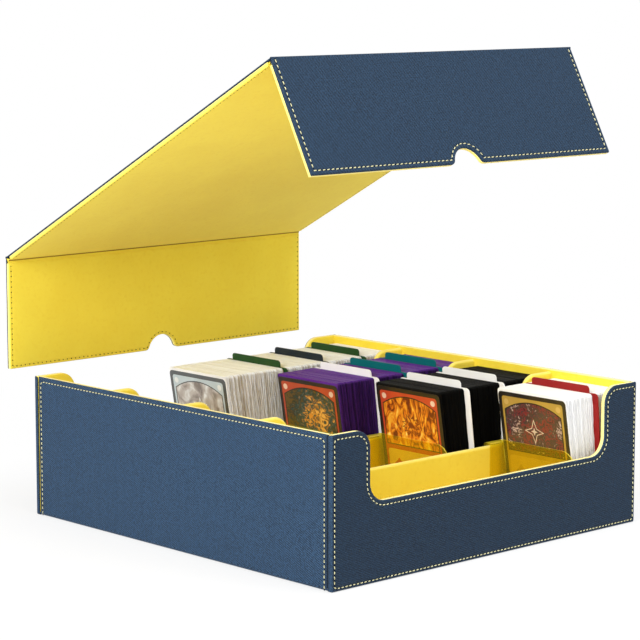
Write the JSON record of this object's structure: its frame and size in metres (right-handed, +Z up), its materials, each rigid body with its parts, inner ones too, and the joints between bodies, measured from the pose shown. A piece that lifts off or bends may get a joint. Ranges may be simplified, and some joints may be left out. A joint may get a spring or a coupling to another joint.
{
  "type": "trading card storage box",
  "caption": "Lidded storage box with parallel rows for sleeved trading cards, sliding card stoppers, tabbed dividers and a lift-off folding lid.",
  "frame": {"origin": "on the ground under the middle of the box", "axes": "+Z up, the rows run along X, -Y is the front with the scooped wall; the cards face -X"},
  "size_m": [0.29, 0.3438, 0.3283],
  "materials": {
    "cover": "navy fabric-textured synthetic leather, satin",
    "lining": "yellow microfibre, matte nap",
    "board": "grey-brown bookbinding board",
    "magnet": "nickel-plated disc",
    "stopper_plastic": "clear amber-yellow sheet",
    "sleeve_cream": "card edges in clear sleeves",
    "sleeve_purple": "card edges in purple sleeves",
    "sleeve_black": "card edges in black sleeves",
    "sleeve_white": "card edges in white sleeves",
    "divider_green": "dark green sheet",
    "divider_dark": "near-black sheet",
    "divider_teal": "teal sheet",
    "divider_white": "white sheet",
    "divider_red": "red sheet"
  },
  "bodies": {
    "box": {"back_board": "board", "back_cover": "cover", "back_lining": "lining", "back_magnets": "magnet", "floor_board": "board", "floor_lining": "lining", "front_board": "board", "front_cover": "cover", "front_lining": "lining", "front_magnets": "magnet", "left_board": "board", "left_lining": "lining", "partition_1": "lining", "partition_2": "lining", "partition_3": "lining", "right_board": "board", "right_lining": "lining", "wrap_cover": "cover"},
    "back_flap": {"back_flap_board": "board", "back_flap_cover": "cover", "back_flap_lining": "lining", "back_flap_magnets": "magnet"},
    "lid_top": {"back_fold": "cover", "front_fold": "cover", "lid_top_board": "board", "lid_top_cover": "cover", "lid_top_lining": "lining"},
    "front_flap": {"front_flap_board": "board", "front_flap_cover": "cover", "front_flap_lining": "lining", "front_flap_magnets": "magnet"},
    "cards_1_1": {"deck_1_1": "sleeve_cream", "divider_1_1": "divider_green"},
    "cards_1_2": {"deck_1_2": "sleeve_cream", "divider_1_2": "divider_dark"},
    "cards_1_3": {"deck_1_3": "sleeve_cream", "divider_1_3": "divider_green"},
    "cards_1_4": {"deck_1_4": "sleeve_cream"},
    "cards_2_1": {"deck_2_1": "sleeve_purple", "divider_2_1": "divider_white"},
    "cards_2_2": {"deck_2_2": "sleeve_purple", "divider_2_2": "divider_teal"},
    "cards_2_3": {"deck_2_3": "sleeve_purple", "divider_2_3": "divider_teal"},
    "cards_2_4": {"deck_2_4": "sleeve_purple"},
    "cards_3_1": {"deck_3_1": "sleeve_black", "divider_3_1": "divider_white"},
    "cards_3_2": {"deck_3_2": "sleeve_black", "divider_3_2": "divider_white"},
    "cards_3_3": {"deck_3_3": "sleeve_black"},
    "cards_4_1": {"deck_4_1": "sleeve_white", "divider_4_1": "divider_red"},
    "cards_4_2": {"deck_4_2": "sleeve_white"},
    "stopper_1": {"stopper_1": "stopper_plastic"},
    "stopper_2": {"stopper_2": "stopper_plastic"},
    "stopper_3": {"stopper_3": "stopper_plastic"},
    "stopper_4": {"stopper_4": "stopper_plastic"}
  },
  "joints": [
    {"name": "lid_seat", "type": "slide", "parent": "box", "child": "back_flap", "axis": [0, -0.38, -0.925], "range_m": [0, 0.08238]},
    {"name": "back_fold_hinge", "type": "hinge", "parent": "back_flap", "child": "lid_top", "pos_m": [0, 0.19085, 0.17905], "axis": [-1, 0, 0], "range_deg": [-27.8, 62.2]},
    {"name": "front_fold_hinge", "type": "hinge", "parent": "lid_top", "child": "front_flap", "pos_m": [0, -0.09142, 0.32787], "axis": [-1, 0, 0], "range_deg": [0, 90]},
    {"name": "cards_1_4_slide", "type": "slide", "parent": "box", "child": "cards_1_4", "axis": [-1, 0, 0], "range_m": [0, 0.013]},
    {"name": "cards_1_3_slide", "type": "slide", "parent": "cards_1_4", "child": "cards_1_3", "axis": [-1, 0, 0], "range_m": [0, 0.013]},
    {"name": "cards_1_2_slide", "type": "slide", "parent": "cards_1_3", "child": "cards_1_2", "axis": [-1, 0, 0], "range_m": [0, 0.013]},
    {"name": "cards_1_1_slide", "type": "slide", "parent": "cards_1_2", "child": "cards_1_1", "axis": [-1, 0, 0], "range_m": [0, 0.013]},
    {"name": "stopper_1_slide", "type": "slide", "parent": "cards_1_1", "child": "stopper_1", "axis": [-1, 0, 0], "range_m": [0, 0.013]},
    {"name": "cards_2_4_slide", "type": "slide", "parent": "box", "child": "cards_2_4", "axis": [-1, 0, 0], "range_m": [0, 0.0209]},
    {"name": "cards_2_3_slide", "type": "slide", "parent": "cards_2_4", "child": "cards_2_3", "axis": [-1, 0, 0], "range_m": [0, 0.0209]},
    {"name": "cards_2_2_slide", "type": "slide", "parent": "cards_2_3", "child": "cards_2_2", "axis": [-1, 0, 0], "range_m": [0, 0.0209]},
    {"name": "cards_2_1_slide", "type": "slide", "parent": "cards_2_2", "child": "cards_2_1", "axis": [-1, 0, 0], "range_m": [0, 0.0209]},
    {"name": "stopper_2_slide", "type": "slide", "parent": "cards_2_1", "child": "stopper_2", "axis": [-1, 0, 0], "range_m": [0, 0.0209]},
    {"name": "cards_3_3_slide", "type": "slide", "parent": "box", "child": "cards_3_3", "axis": [-1, 0, 0], "range_m": [0, 0.0325]},
    {"name": "cards_3_2_slide", "type": "slide", "parent": "cards_3_3", "child": "cards_3_2", "axis": [-1, 0, 0], "range_m": [0, 0.0325]},
    {"name": "cards_3_1_slide", "type": "slide", "parent": "cards_3_2", "child": "cards_3_1", "axis": [-1, 0, 0], "range_m": [0, 0.0325]},
    {"name": "stopper_3_slide", "type": "slide", "parent": "cards_3_1", "child": "stopper_3", "axis": [-1, 0, 0], "range_m": [0, 0.0325]},
    {"name": "cards_4_2_slide", "type": "slide", "parent": "box", "child": "cards_4_2", "axis": [-1, 0, 0], "range_m": [0, 0.0584]},
    {"name": "cards_4_1_slide", "type": "slide", "parent": "cards_4_2", "child": "cards_4_1", "axis": [-1, 0, 0], "range_m": [0, 0.0584]},
    {"name": "stopper_4_slide", "type": "slide", "parent": "cards_4_1", "child": "stopper_4", "axis": [-1, 0, 0], "range_m": [0, 0.0584]}
  ]
}
